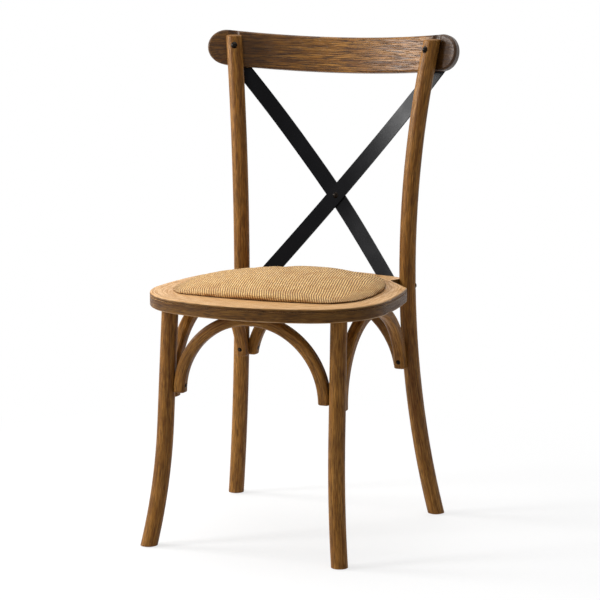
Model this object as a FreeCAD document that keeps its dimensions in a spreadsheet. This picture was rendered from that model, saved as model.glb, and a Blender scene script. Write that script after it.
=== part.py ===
import FreeCAD, Part
import Sketcher
import math
import os

# A cross back dining chair: bentwood legs, a bowed crest rail, two crossed steel straps,
# a bent seat ring with a woven pad, and four bentwood braces under the seat.
# Millimetres. +Z is up, the chair faces -Y, and the origin is at the middle of its base.

os.makedirs("parts", exist_ok=True)
doc = FreeCAD.newDocument("cross_back_chair")
sheet = doc.addObject("Spreadsheet::Sheet", "Sizes")
V = FreeCAD.Vector
UP = V(0, 0, 1)

# Driving dimensions

SIZES = [
    # seat ring, measured from a point on the floor under the seat
    ("seat_height", 445.0),
    ("ring_thickness", 25.0),
    ("ring_front", 233.5),
    ("ring_half_width", 218.5),
    ("ring_widest", -85.0),
    ("ring_rear", 199.0),
    ("ring_front_arc", 396.0),
    ("ring_side_arc", 640.0),
    ("ring_rear_arc", 330.0),
    ("ring_front_corner", 135.0),
    ("ring_rear_corner", 30.0),
    ("ring_side_end", 55.0),
    ("ring_edge_round", 3.0),
    ("ring_bead_drop", 5.0),
    ("ring_groove", 1.5),
    ("ring_ledge", 20.0),
    # woven pad, its filling and its board
    ("pad_front", 172.0),
    ("pad_half_width", 187.0),
    ("pad_widest", -55.0),
    ("pad_rear", 150.0),
    ("pad_front_arc", 800.0),
    ("pad_side_arc", 300.0),
    ("pad_rear_arc", 400.0),
    ("pad_front_corner", 60.0),
    ("pad_rear_corner", 45.0),
    ("pad_crown", 24.0),
    ("pad_crown_radius", 1050.0),
    ("pad_bulge_height", 7.0),
    ("pad_tuck", 4.0),
    ("cover_thickness", 2.0),
    ("board_thickness", 9.0),
    ("board_inset", 16.0),
    ("board_clear", 0.5),
    # rear legs, one bent piece each from floor to crest rail
    ("rear_leg_size", 29.2),
    ("rear_leg_corner", 13.8),
    ("rear_leg_bend", 1717.0),
    ("rear_leg_waist", 463.0),
    ("rear_leg_x", 165.5),
    ("rear_leg_y", 153.8),
    ("rear_leg_splay", 38.3),
    ("rear_leg_turn", 22.0),
    ("rear_leg_top", 875.0),
    ("rear_leg_end_round", 3.0),
    ("leg_housing", 6.0),
    ("notch_reach", 37.0),
    ("notch_round", 6.0),
    ("leg_bolt_swing", 48.0),
    ("leg_bolt_sink", 2.0),
    # front legs
    ("front_leg_size", 29.2),
    ("front_leg_corner", 14.0),
    ("front_leg_turn", 24.5),
    ("front_leg_x", 160.3),
    ("front_leg_y", 153.4),
    ("front_leg_rake", 4.8),
    ("front_leg_lean", 0.87),
    ("front_leg_splay", 44.9),
    ("front_leg_bend", 1080.0),
    ("front_leg_straight", 204.6),
    ("tenon_radius", 9.0),
    ("tenon_length", 11.0),
    # crest rail
    ("rail_bow", 540.0),
    ("rail_thickness", 20.0),
    ("rail_height", 65.0),
    ("rail_half_length", 246.0),
    ("rail_tilt", 10.5),
    ("rail_dip", 4.0),
    ("rail_seat", 2.0),
    ("rail_edge_round", 4.0),
    ("crest_bolt_drop", 20.0),
    ("crest_bolt_rise", 1.6),
    # crossed straps
    ("strap_width", 29.0),
    ("strap_thickness", 3.0),
    ("strap_cross_rise", 159.0),
    ("strap_top_reach", 223.5),
    ("strap_top_rise", 1.0),
    ("strap_foot_reach", 126.0),
    ("strap_foot_rise", 9.18),
    ("strap_end_round", 8.0),
    ("strap_top_screw", 9.0),
    ("strap_screw_pitch", 20.0),
    ("strap_foot_screw", 8.0),
    # braces
    ("brace_size", 21.0),
    ("brace_corner", 6.5),
    ("brace_bite", 1.5),
    ("front_brace_setback", 3.5),
    ("rear_brace_spread", 4.0),
    ("side_brace_front_out", 7.5),
    ("side_brace_rear_in", 4.0),
    ("brace_top_flat", 0.6),
    ("brace_end_round", 3.0),
    ("front_brace_drop", 148.0),
    ("rear_brace_drop", 138.0),
    ("side_brace_front_drop", 160.0),
    ("side_brace_rear_drop", 138.0),
    ("brace_screw_rise", 13.0),
    # fasteners and feet
    ("bolt_head_radius", 6.0),
    ("bolt_head_rise", 4.0),
    ("bolt_radius", 3.0),
    ("insert_radius", 5.0),
    ("insert_length", 13.0),
    ("screw_radius", 2.0),
    ("screw_head_radius", 4.0),
    ("screw_head_rise", 1.8),
    ("brace_screw_grip", 9.0),
    ("ring_screw_grip", 12.0),
    ("strap_screw_length", 14.0),
    ("board_screw_grip", 6.0),
    ("rivet_radius", 3.0),
    ("rivet_head_radius", 5.5),
    ("rivet_head_rise", 2.0),
    ("glide_radius", 10.0),
    ("glide_height", 1.5),
    ("glide_pin_radius", 2.0),
    ("glide_pin_length", 12.0),
    # clearances
    ("fit_gap", 0.2),
    ("soft_gap", 0.3),
]
for row, (alias, value) in enumerate(SIZES, start=1):
    sheet.set("A%d" % row, alias)
    sheet.set("B%d" % row, "%g" % value)
    sheet.setAlias("B%d" % row, alias)
doc.recompute()


def size(alias):
    return float(sheet.get(alias))


def bind(thing, path, expression):
    thing.setExpression(path, expression)


def cell(alias):
    return "Sizes." + alias


# Construction helpers

def cut(name, base, tools):
    # base less every tool
    made = doc.addObject("Part::Cut", name)
    made.Base = base
    made.Tool = tools[0] if len(tools) == 1 else fuse(name + "_tools", tools)
    return made


def common(name, base, tool):
    made = doc.addObject("Part::Common", name)
    made.Base = base
    made.Tool = tool
    return made


def fuse(name, pieces):
    made = doc.addObject("Part::MultiFuse", name)
    made.Shapes = pieces
    made.Refine = True
    return made


def group(name, pieces):
    made = doc.addObject("Part::Compound", name)
    made.Links = pieces
    return made


def mirror(name, source):
    made = doc.addObject("Part::Mirroring", name)
    made.Source = source
    made.Normal = V(1, 0, 0)
    return made


def extrude(name, profile, length, direction=UP):
    made = doc.addObject("Part::Extrusion", name)
    made.Base = profile
    made.DirMode = "Custom"
    made.Dir = direction
    made.Solid = True
    bind(made, "LengthFwd", length)
    return made


def place(thing, placement):
    thing.Placement = placement
    return thing


def aimed(origin, axis):
    # a placement whose local Z runs along axis
    return FreeCAD.Placement(origin, FreeCAD.Rotation(UP, axis))


def shift(x, y, z):
    return FreeCAD.Placement(V(x, y, z), FreeCAD.Rotation())


def spin(axis, degrees, centre=V(0, 0, 0)):
    return FreeCAD.Placement(V(0, 0, 0), FreeCAD.Rotation(axis, degrees), centre)


def cylinder(name, radius, height, origin, axis=UP):
    made = doc.addObject("Part::Cylinder", name)
    bind(made, "Radius", radius)
    bind(made, "Height", height)
    return place(made, aimed(origin, axis))


def dome(name, radius, rise, origin, axis):
    # a round head: the cap of a sphere, standing on origin and facing along axis
    made = doc.addObject("Part::Sphere", name)
    ball = "(%s ^ 2 + %s ^ 2) / (2 * %s)" % (radius, rise, rise)
    bind(made, "Radius", ball)
    bind(made, "Angle1", "asin((%s - %s) / (%s))" % (ball, rise, ball))
    made.Angle2 = 90
    r = size(radius.split(".")[1])
    up = size(rise.split(".")[1])
    drop = (r * r + up * up) / (2 * up) - up
    return place(made, aimed(origin - axis * drop, axis))


def block(name, x0, x1, y0, y1, z0, z1):
    made = doc.addObject("Part::Box", name)
    made.Length = x1 - x0
    made.Width = y1 - y0
    made.Height = z1 - z0
    return place(made, shift(x0, y0, z0))


def rounded(name, base, radius, wanted):
    # base with every edge that wanted accepts filleted
    doc.recompute()
    made = doc.addObject("Part::Fillet", name)
    made.Base = base
    numbers = [n for n, e in enumerate(base.Shape.Edges, start=1) if wanted(e)]
    made.Edges = [(n, radius, radius) for n in numbers]
    return made


def level(z):
    # accepts the edges that lie flat at one height
    def wanted(edge):
        box = edge.BoundBox
        return abs(box.ZMin - z) < 0.01 and abs(box.ZMax - z) < 0.01
    return wanted


def screw(name, seat, into, head_radius, head_rise, shank_radius, length):
    # a round-headed screw or bolt: the head stands on seat, the shank runs along into
    head = dome(name + "_head", cell(head_radius), cell(head_rise), seat, into * -1)
    shank = cylinder(name + "_shank", cell(shank_radius), length, seat, into)
    return fuse(name, [head, shank])


def hole(name, radius, length, start, along):
    return cylinder(name, "%s + %s / 2" % (radius, cell("fit_gap")), length, start, along)


# Profiles

def square_profile(name, side, corner, grow=""):
    # a square with rounded corners, centred on its sketch's origin
    extra = size(grow) if grow else 0.0
    radius = size(corner) + extra
    flat = size(side) / 2 - size(corner)
    sketch = doc.addObject("Sketcher::SketchObject", name)
    for x, y, start in [(1, 1, 0), (-1, 1, 90), (-1, -1, 180), (1, -1, 270)]:
        circle = Part.Circle(V(x * flat, y * flat, 0), UP, radius)
        first = math.radians(start)
        sketch.addGeometry(Part.ArcOfCircle(circle, first, first + math.pi / 2))
    for a in range(4):
        b = (a + 1) % 4
        ends = [sketch.Geometry[a].EndPoint, sketch.Geometry[b].StartPoint]
        line = sketch.addGeometry(Part.LineSegment(ends[0], ends[1]))
        sketch.addConstraint(Sketcher.Constraint("Coincident", a, 2, line, 1))
        sketch.addConstraint(Sketcher.Constraint("Coincident", line, 2, b, 1))
    across = "%s - 2 * %s" % (cell(side), cell(corner))
    rule = [("corner", ("Radius", 0, radius), cell(corner) + (" + " + cell(grow) if grow else "")),
            ("flat_width", ("DistanceX", 2, 3, 0, 3, 2 * flat), across),
            ("flat_depth", ("DistanceY", 2, 3, 0, 3, 2 * flat), across)]
    for label, values, expression in rule:
        number = sketch.addConstraint(Sketcher.Constraint(*values))
        sketch.renameConstraint(number, label)
        bind(sketch, "Constraints." + label, expression)
    return sketch


def touching_centre(c1, r1, c2, r2, radius, rear):
    # centre of the circle of this radius that touches both circles from inside
    a = r1 - radius
    b = r2 - radius
    span = c2 - c1
    d = span.Length
    along = (a * a - b * b + d * d) / (2 * d)
    off = math.sqrt(a * a - along * along)
    unit = span / d
    foot = c1 + unit * along
    side = V(-unit.y, unit.x, 0)
    found = [foot + side * off, foot - side * off]
    found.sort(key=lambda p: p.y)
    return found[1] if rear else found[0]


def seat_outline(name, prefix, inset=0.0):
    # a closed outline of eight arcs that touch: front, sides, rear and four corners
    def part(word):
        return size(prefix + word)
    front_r = part("front_arc") - inset
    side_r = part("side_arc") - inset
    rear_r = part("rear_arc") - inset
    front_c = V(0, part("front_arc") - part("front"), 0)
    side_c = V(part("half_width") - part("side_arc"), part("widest"), 0)
    rear_c = V(0, part("rear") - part("rear_arc"), 0)
    near_r = part("front_corner") - inset
    far_r = part("rear_corner") - inset
    near_c = touching_centre(front_c, front_r, side_c, side_r, near_r, False)
    far_c = touching_centre(rear_c, rear_r, side_c, side_r, far_r, True)

    def bearing(a, b):
        return math.atan2(b.y - a.y, b.x - a.x)

    def flip(c):
        return V(-c.x, c.y, 0)
    b1 = bearing(front_c, near_c)
    b2 = bearing(side_c, near_c)
    b3 = bearing(side_c, far_c)
    b4 = bearing(rear_c, far_c)
    half = math.pi
    arcs = [(front_c, front_r, -half - b1, b1), (near_c, near_r, b1, b2),
            (side_c, side_r, b2, b3), (far_c, far_r, b3, b4), (rear_c, rear_r, b4, half - b4),
            (flip(far_c), far_r, half - b4, half - b3), (flip(side_c), side_r, half - b3, half - b2),
            (flip(near_c), near_r, half - b2, half - b1)]
    sketch = doc.addObject("Sketcher::SketchObject", name)
    for centre, radius, first, last in arcs:
        sketch.addGeometry(Part.ArcOfCircle(Part.Circle(centre, UP, radius), first, last))
    for n in range(8):
        sketch.addConstraint(Sketcher.Constraint("Coincident", n, 2, (n + 1) % 8, 1))
    words = ["front_arc", "front_corner", "side_arc", "rear_corner", "rear_arc"]
    for n, word in enumerate(words):
        number = sketch.addConstraint(Sketcher.Constraint("Radius", n, arcs[n][1]))
        sketch.renameConstraint(number, word)
        bind(sketch, "Constraints." + word, "%s - %g" % (cell(prefix + word), inset))
    return sketch


def slab(name, prefix, inset, bottom, height):
    # a flat plate with a seat outline
    sketch = place(seat_outline(name + "_outline", prefix, inset), shift(0, 0, bottom))
    return extrude(name, sketch, height)


# Places worked out from the sizes

ring_top = size("seat_height")
ring_bottom = ring_top - size("ring_thickness")
ring_middle = (ring_top + ring_bottom) / 2
gap = size("fit_gap")
glide_top = size("glide_height")
rear_half = size("rear_leg_size") / 2
front_half = size("front_leg_size") / 2
brace_half = size("brace_size") / 2
turn = math.radians(size("rear_leg_turn"))
leg_front = V(-math.sin(turn), -math.cos(turn), 0)
leg_outer = V(math.cos(turn), -math.sin(turn), 0)
splay = math.radians(size("front_leg_splay"))
foot_out = V(math.sin(splay), -math.cos(splay), 0)
front_turn = math.radians(size("front_leg_turn"))
front_face = V(math.sin(front_turn), -math.cos(front_turn), 0)
rake = math.tan(math.radians(size("front_leg_rake")))
lean = math.tan(math.radians(size("front_leg_lean")))
front_down = V(lean, -rake, -1)
front_down.normalize()
front_top = V(size("front_leg_x"), -size("front_leg_y"), ring_bottom)


def rear_axis(z):
    # the rear leg's centre line at a height
    radius = size("rear_leg_bend")
    rise = z - size("rear_leg_waist")
    away = radius - math.sqrt(radius * radius - rise * rise)
    bearing = math.radians(size("rear_leg_splay"))
    x = size("rear_leg_x") + away * math.sin(bearing)
    y = size("rear_leg_y") + away * math.cos(bearing)
    return V(x, y, z)


def front_axis(z):
    # the front leg's centre line at a height in its straight upper part
    return front_top + front_down * ((z - ring_bottom) / front_down.z)


def flip(point):
    return V(-point.x, point.y, point.z)


def level_point(point, z):
    return V(point.x, point.y, z)


# Crest rail frame: local Y is the direction of the bow, local Z runs up the board

tilt = math.radians(size("rail_tilt"))
rail_x = V(1, 0, 0)
rail_y = V(0, math.cos(tilt), -math.sin(tilt))
rail_z = V(0, math.sin(tilt), math.cos(tilt))
bow = size("rail_bow")
rail_half = size("rail_thickness") / 2
crest_axis = rear_axis(size("rear_leg_top") - size("crest_bolt_drop"))
crest_reach = rear_half - size("rail_seat") + rail_half
crest_sine = crest_axis.x / (bow - crest_reach)
crest_cosine = math.sqrt(1 - crest_sine * crest_sine)
crest_into = rail_x * crest_sine + rail_y * crest_cosine
rail_origin = crest_axis + crest_into * crest_reach + rail_y * (bow * (1 - crest_cosine))
rail_origin = level_point(rail_origin, rail_origin.z) - rail_z * size("crest_bolt_rise")
rail_origin.x = 0
bow_centre = rail_origin - rail_y * bow


def bow_point(x, z, radius):
    # a point on a bowed surface round the rail's own axis
    return bow_centre + rail_x * x + rail_y * math.sqrt(radius * radius - x * x) + rail_z * z


def bow_normal(x, radius):
    sine = x / radius
    return rail_x * sine + rail_y * math.sqrt(1 - sine * sine)


# Rear legs


def rear_leg_bar(name, grow=""):
    # the bent bar before it is cut to length
    bend = size("rear_leg_bend")
    low = math.degrees(math.asin(size("rear_leg_waist") / bend)) + 0.6
    high = math.degrees(math.asin((size("rear_leg_top") - size("rear_leg_waist")) / bend)) + 0.6
    section = square_profile(name + "_section", "rear_leg_size", "rear_leg_corner", grow)
    section.Placement = spin(UP, size("rear_leg_splay") - size("rear_leg_turn"))
    bar = doc.addObject("Part::Revolution", name)
    bar.Source = section
    bar.Axis = V(0, 1, 0)
    bind(bar, "Base.x", cell("rear_leg_bend"))
    bar.Angle = low + high
    bar.Solid = True
    stand = FreeCAD.Placement(rear_axis(size("rear_leg_waist")),
                              FreeCAD.Rotation(UP, 90 - size("rear_leg_splay")))
    bar.Placement = stand.multiply(spin(V(0, 1, 0), -low, V(bend, 0, 0)))
    return bar


rear_envelope = rear_leg_bar("rear_leg_envelope", "fit_gap")
rear_envelope_left = mirror("rear_leg_envelope_left", rear_envelope)
wall_offset = size("leg_housing") - rear_half
flat_depth = 0.6
# the leg bolt comes in from the outer rear side and crosses the housing at a slant
bolt_out = FreeCAD.Rotation(UP, size("leg_bolt_swing")).multVec(leg_outer)
bolt_slant = math.radians(size("leg_bolt_swing"))
leg_bolt_axis = rear_axis(ring_middle)
leg_bolt_seat = leg_bolt_axis + bolt_out * (rear_half - size("leg_bolt_sink"))
insert_back = (size("insert_radius") + 0.4) * math.tan(bolt_slant)
leg_insert_end = leg_bolt_axis + bolt_out * (wall_offset / math.cos(bolt_slant) - insert_back)
leg_bolt_length = "%.3f + %s - 1" % ((leg_bolt_seat - leg_insert_end).Length,
                                     cell("insert_length"))
crest_seat = crest_axis - crest_into * (rear_half - flat_depth)
crest_insert_end = crest_axis + crest_into * (rear_half + 0.6)
crest_bolt_length = "%s + %s - 1" % (cell("rear_leg_size"), cell("insert_length"))

# Front legs


def front_leg_bar(name, grow=""):
    # a straight upper length and a bent lower one, in one piece
    straight = size("front_leg_straight")
    bend = size("front_leg_bend")
    swing = math.degrees((ring_bottom - straight) / bend) + 1.5
    side = (front_down * -1).cross(foot_out)
    side.normalize()
    out = side.cross(front_down * -1)
    frame = FreeCAD.Placement(front_top, FreeCAD.Rotation(out, side, front_down * -1, "ZXY"))
    section = square_profile(name + "_section", "front_leg_size", "front_leg_corner", grow)
    section.Placement = spin(UP, size("front_leg_turn") - size("front_leg_splay"))
    upper = extrude(name + "_straight", section, cell("front_leg_straight") + " + 5")
    lower = doc.addObject("Part::Revolution", name + "_bend")
    lower.Source = section
    lower.Axis = V(0, 1, 0)
    bind(lower, "Base.x", cell("front_leg_bend"))
    lower.Angle = -swing
    lower.Solid = True
    whole = fuse(name, [upper, lower])
    whole.Placement = frame.multiply(shift(0, 0, -straight))
    return whole, frame


front_envelope, front_frame = front_leg_bar("front_leg_envelope", "fit_gap")
front_envelope_left = mirror("front_leg_envelope_left", front_envelope)


def front_leg_foot():
    # where the front leg's centre line meets the top of its glide
    bend = size("front_leg_bend")
    low = 0.0
    high = 0.6
    for step in range(60):
        angle = (low + high) / 2
        across = bend * (1 - math.cos(angle))
        local = V(across, 0, -size("front_leg_straight") - bend * math.sin(angle))
        point = front_frame.multVec(local)
        if point.z > glide_top:
            low = angle
        else:
            high = angle
    return point


rear_floor = rear_axis(glide_top)
front_floor = front_leg_foot()

# Braces: where their limbs stand, and the screws through them


class Arch:
    # a bent brace between two upright limbs; start and end are points on the limb centres
    def __init__(self, start, end, start_height, end_height):
        self.start = level_point(start, 0)
        self.end = level_point(end, 0)
        self.heights = [start_height, end_height]
        self.middle = (self.start + self.end) / 2
        self.along = self.end - self.start
        self.radius = self.along.Length / 2
        self.along.normalize()
        self.spring = ring_bottom + size("brace_top_flat") - brace_half - self.radius

    def end_screw(self, which):
        # seat and direction of the screw through one limb
        away = self.along if which else self.along * -1
        z = self.heights[which] + size("brace_screw_rise")
        inner = self.radius - brace_half
        rise = max(0.0, z - self.spring)
        reach = math.sqrt(inner * inner - rise * rise)
        depth = 0.3 + (size("screw_head_radius") + 0.4) * rise / reach
        return level_point(self.middle + away * (reach + depth), z), away

    def top_screw(self):
        z = self.spring + self.radius - brace_half + 0.4
        return level_point(self.middle, z), UP


near = size("front_leg_size") * 0.538 + brace_half - size("brace_bite")
front_end = ring_bottom - size("front_brace_drop")
limb = front_axis(front_end) - rail_x * near + V(0, size("front_brace_setback"), 0)
front_arch = Arch(flip(limb), limb, front_end, front_end)
near = size("rear_leg_size") * 0.53 + brace_half - size("brace_bite")
near = near - size("rear_brace_spread")
rear_end = ring_bottom - size("rear_brace_drop")
limb = rear_axis(rear_end) - rail_x * near
rear_arch = Arch(flip(limb), limb, rear_end, rear_end)
side_front_end = ring_bottom - size("side_brace_front_drop")
side_rear_end = ring_bottom - size("side_brace_rear_drop")
limb = front_axis(side_front_end)
limb = limb - front_face * (front_half + brace_half - size("brace_bite"))
limb = limb + V(size("side_brace_front_out"), size("brace_bite"), 0)
limb_end = rear_axis(side_rear_end)
limb_end = limb_end + leg_front * (rear_half + brace_half - size("brace_bite"))
limb_end = limb_end - V(size("side_brace_rear_in"), 0, 0)
side_arch = Arch(limb, limb_end, side_front_end, side_rear_end)
brace_screw_length = cell("brace_size") + " + " + cell("brace_screw_grip")
top_screw_length = cell("brace_size") + " + " + cell("ring_screw_grip")


def screw_hole(name, seat, into, length):
    return hole(name, cell("screw_radius"), length + " + 1", seat - into * 0.5, into)


def head_flat(name, seat, into, radius="screw_head_radius", rise="screw_head_rise"):
    # a spot face for a round head
    return cylinder(name, cell(radius) + " + 0.4", cell(rise) + " + 3", seat, into * -1)


def glide_hole(name, foot):
    length = "%s + 1 + %s" % (cell("glide_pin_length"), cell("fit_gap"))
    return hole(name, cell("glide_pin_radius"), length, level_point(foot, glide_top - 1), UP)


def make_rear_leg():
    bar = rear_leg_bar("rear_leg_bar")
    room = block("rear_leg_room", 0, 400, 0, 400, glide_top, size("rear_leg_top"))
    bind(room, "Height", "%s - %s" % (cell("rear_leg_top"), cell("glide_height")))
    trimmed = common("rear_leg_trimmed", bar, room)
    ended = rounded("rear_leg_ended", trimmed, size("rear_leg_end_round"),
                    level(size("rear_leg_top")))
    # the housing that clasps the seat ring
    wide = size("rear_leg_size")
    housing = block("rear_leg_housing", -wide, wall_offset, -wide, wide,
                    -size("ring_thickness") / 2 - gap, size("ring_thickness") / 2 + gap)
    bind(housing, "Height", "%s + 2 * %s" % (cell("ring_thickness"), cell("fit_gap")))
    base = FreeCAD.Placement(rear_axis(ring_middle), FreeCAD.Rotation(UP, -size("rear_leg_turn")))
    housing.Placement = base.multiply(housing.Placement)
    tools = [housing]
    tools.append(hole("leg_bolt_hole", cell("bolt_radius"), "1.3 * " + cell("rear_leg_size"),
                      leg_bolt_seat + bolt_out, bolt_out * -1))
    tools.append(head_flat("leg_bolt_flat", leg_bolt_seat, bolt_out * -1,
                           "bolt_head_radius", "bolt_head_rise"))
    tools.append(hole("crest_bolt_hole", cell("bolt_radius"), "1.5 * " + cell("rear_leg_size"),
                      crest_seat - crest_into, crest_into))
    tools.append(head_flat("crest_bolt_flat", crest_seat, crest_into,
                           "bolt_head_radius", "bolt_head_rise"))
    for name, arch in [("rear_brace", rear_arch), ("side_brace_rear", side_arch)]:
        seat, into = arch.end_screw(1)
        tools.append(screw_hole(name + "_leg_hole", seat, into, brace_screw_length))
    tools.append(glide_hole("rear_leg_glide_hole", rear_floor))
    right = cut("rear_leg_right_solid", ended, tools)
    return right, mirror("rear_leg_left_solid", right)


def make_front_leg():
    bar, frame = front_leg_bar("front_leg_bar")
    room = block("front_leg_room", 0, 400, -400, 0, glide_top, ring_bottom)
    bind(room, "Height", "%s - %s - %s" % (cell("seat_height"), cell("ring_thickness"),
                                         cell("glide_height")))
    trimmed = common("front_leg_trimmed", bar, room)
    tenon = cylinder("front_leg_tenon", cell("tenon_radius"), cell("tenon_length") + " + 4",
                     front_top - UP * 4)
    joined = fuse("front_leg_joined", [trimmed, tenon])
    tools = [glide_hole("front_leg_glide_hole", front_floor)]
    for name, arch, which in [("front_brace", front_arch, 1), ("side_brace_front", side_arch, 0)]:
        seat, into = arch.end_screw(which)
        tools.append(screw_hole(name + "_leg_hole", seat, into, brace_screw_length))
    right = cut("front_leg_right_solid", joined, tools)
    return right, mirror("front_leg_left_solid", right)


# Seat ring: one bent frame with a rabbet for the board and a notch at each rear leg


def make_notch(name):
    # the corner that is cut away beside a rear leg
    base = rear_axis(ring_middle) + leg_outer * wall_offset
    inner = base + leg_front * size("notch_reach")
    side_centre = V(size("ring_half_width") - size("ring_side_arc"), size("ring_widest"), 0)
    end_y = size("ring_side_end")
    side_r = size("ring_side_arc")
    end_x = side_centre.x + math.sqrt(side_r * side_r - (end_y - side_centre.y) ** 2)
    end = V(end_x, end_y, 0)
    start = level_point(base - leg_front * 60, 0)
    inner = level_point(inner, 0)
    outward = end - inner
    outward.normalize()
    far = [start, inner, end + outward * 40, end + outward * 40 + V(60, 160, 0)]
    sketch = doc.addObject("Sketcher::SketchObject", name + "_outline")
    for a in range(4):
        sketch.addGeometry(Part.LineSegment(far[a], far[(a + 1) % 4]))
        if a:
            sketch.addConstraint(Sketcher.Constraint("Coincident", a - 1, 2, a, 1))
    sketch.addConstraint(Sketcher.Constraint("Coincident", 3, 2, 0, 1))
    sketch.Placement = shift(0, 0, ring_bottom - 10)
    tool = extrude(name + "_prism", sketch, cell("ring_thickness") + " + 20")

    def wanted(edge):
        spot = edge.CenterOfMass
        upright = edge.BoundBox.ZLength > 20
        return upright and abs(spot.x - inner.x) < 0.1 and abs(spot.y - inner.y) < 0.1
    return rounded(name, tool, size("notch_round"), wanted)


def make_ring(strap_seats, strap_screws):
    plate = slab("ring_plate", "ring_", 0, ring_bottom, cell("ring_thickness"))
    edges = size("ring_edge_round")
    soft = rounded("ring_soft_edge", plate, edges,
                   lambda e: level(ring_top)(e) or level(ring_bottom)(e))
    bead_z = ring_top - size("ring_bead_drop") - size("ring_groove")
    around = block("ring_groove_block", -400, 400, -400, 400, bead_z, bead_z + size("ring_groove"))
    keep = slab("ring_groove_core", "ring_", size("ring_groove"), bead_z - 5, "20")
    groove = cut("ring_groove_cut", around, [keep])
    recess = slab("ring_recess", "pad_", size("board_inset"), ring_top - size("board_thickness"),
                  cell("board_thickness") + " + 5")
    opening = slab("ring_opening", "pad_", size("board_inset") + size("ring_ledge"),
                   ring_bottom - 5, cell("ring_thickness") + " + 10")
    notch = make_notch("ring_notch")
    tools = [groove, recess, opening, notch, mirror("ring_notch_left", notch)]
    mortise = hole("ring_mortise", cell("tenon_radius"),
                   cell("tenon_length") + " + 1 + " + cell("fit_gap"), front_top - UP, UP)
    lead = 2 * insert_back + 1
    insert = hole("ring_insert_hole", cell("insert_radius"),
                  cell("insert_length") + " + 0.5 + %.3f" % lead,
                  leg_insert_end + bolt_out * lead, bolt_out * -1)
    tools += [mortise, mirror("ring_mortise_left", mortise)]
    tools += [insert, mirror("ring_insert_hole_left", insert)]
    for name, arch in [("front", front_arch), ("rear", rear_arch), ("side", side_arch)]:
        seat, into = arch.top_screw()
        bore = screw_hole(name + "_ring_hole", seat, into, top_screw_length)
        tools.append(bore)
        if name == "side":
            tools.append(mirror("side_ring_hole_left", bore))
    for n, spot in enumerate(board_screw_spots()):
        tools.append(screw_hole("board_ledge_hole_%d" % n, spot, UP, board_screw_length))
    return cut("seat_ring_solid", soft, tools + strap_seats + strap_screws)


# Board, filling and woven cover

board_screw_length = "%s - %s + %s" % (cell("ring_thickness"), cell("board_thickness"),
                                       cell("board_screw_grip"))


def board_screw_spots():
    inset = size("board_inset") + size("ring_ledge") / 2
    spots = []
    for end, arc, x, way in [("pad_front", "pad_front_arc", 85, -1), ("pad_rear", "pad_rear_arc", 60, 1)]:
        radius = size(arc)
        inner = radius - inset
        y = way * (size(end) - radius + math.sqrt(inner * inner - x * x))
        spots += [V(x, y, ring_bottom), V(-x, y, ring_bottom)]
    return spots


def make_board():
    inset = size("board_inset") + size("board_clear")
    board = slab("board_plate", "pad_", inset, ring_top - size("board_thickness"),
                 cell("board_thickness"))
    tools = [screw_hole("board_hole_%d" % n, spot, UP, board_screw_length)
             for n, spot in enumerate(board_screw_spots())]
    return cut("seat_board_solid", board, tools)


def make_cushion(name, inset, bottom, crown_drop):
    # a low cushion: drawn-in sides lofted through four outlines, under a shallow dome
    tuck = size("pad_tuck")
    bulge = size("pad_bulge_height")
    levels = [(0.0, tuck * 0.7), (bulge, 0.0), (bulge * 2.2, tuck), (bulge * 4.2, tuck * 4)]
    outlines = []
    for n, (height, draw) in enumerate(levels):
        outline = seat_outline("%s_outline_%d" % (name, n), "pad_", inset + draw)
        outline.Placement = shift(0, 0, bottom + height)
        outlines.append(outline)
    sides = doc.addObject("Part::Loft", name + "_sides")
    sides.Sections = outlines
    sides.Solid = True
    ball = doc.addObject("Part::Sphere", name + "_crown")
    bind(ball, "Radius", "%s - %g" % (cell("pad_crown_radius"), crown_drop))
    middle = (size("pad_rear") - size("pad_front")) / 2
    ball.Placement = shift(0, middle, ring_top + size("pad_crown") - size("pad_crown_radius"))
    body = common(name + "_domed", sides, ball)
    return body


# Crest rail


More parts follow.
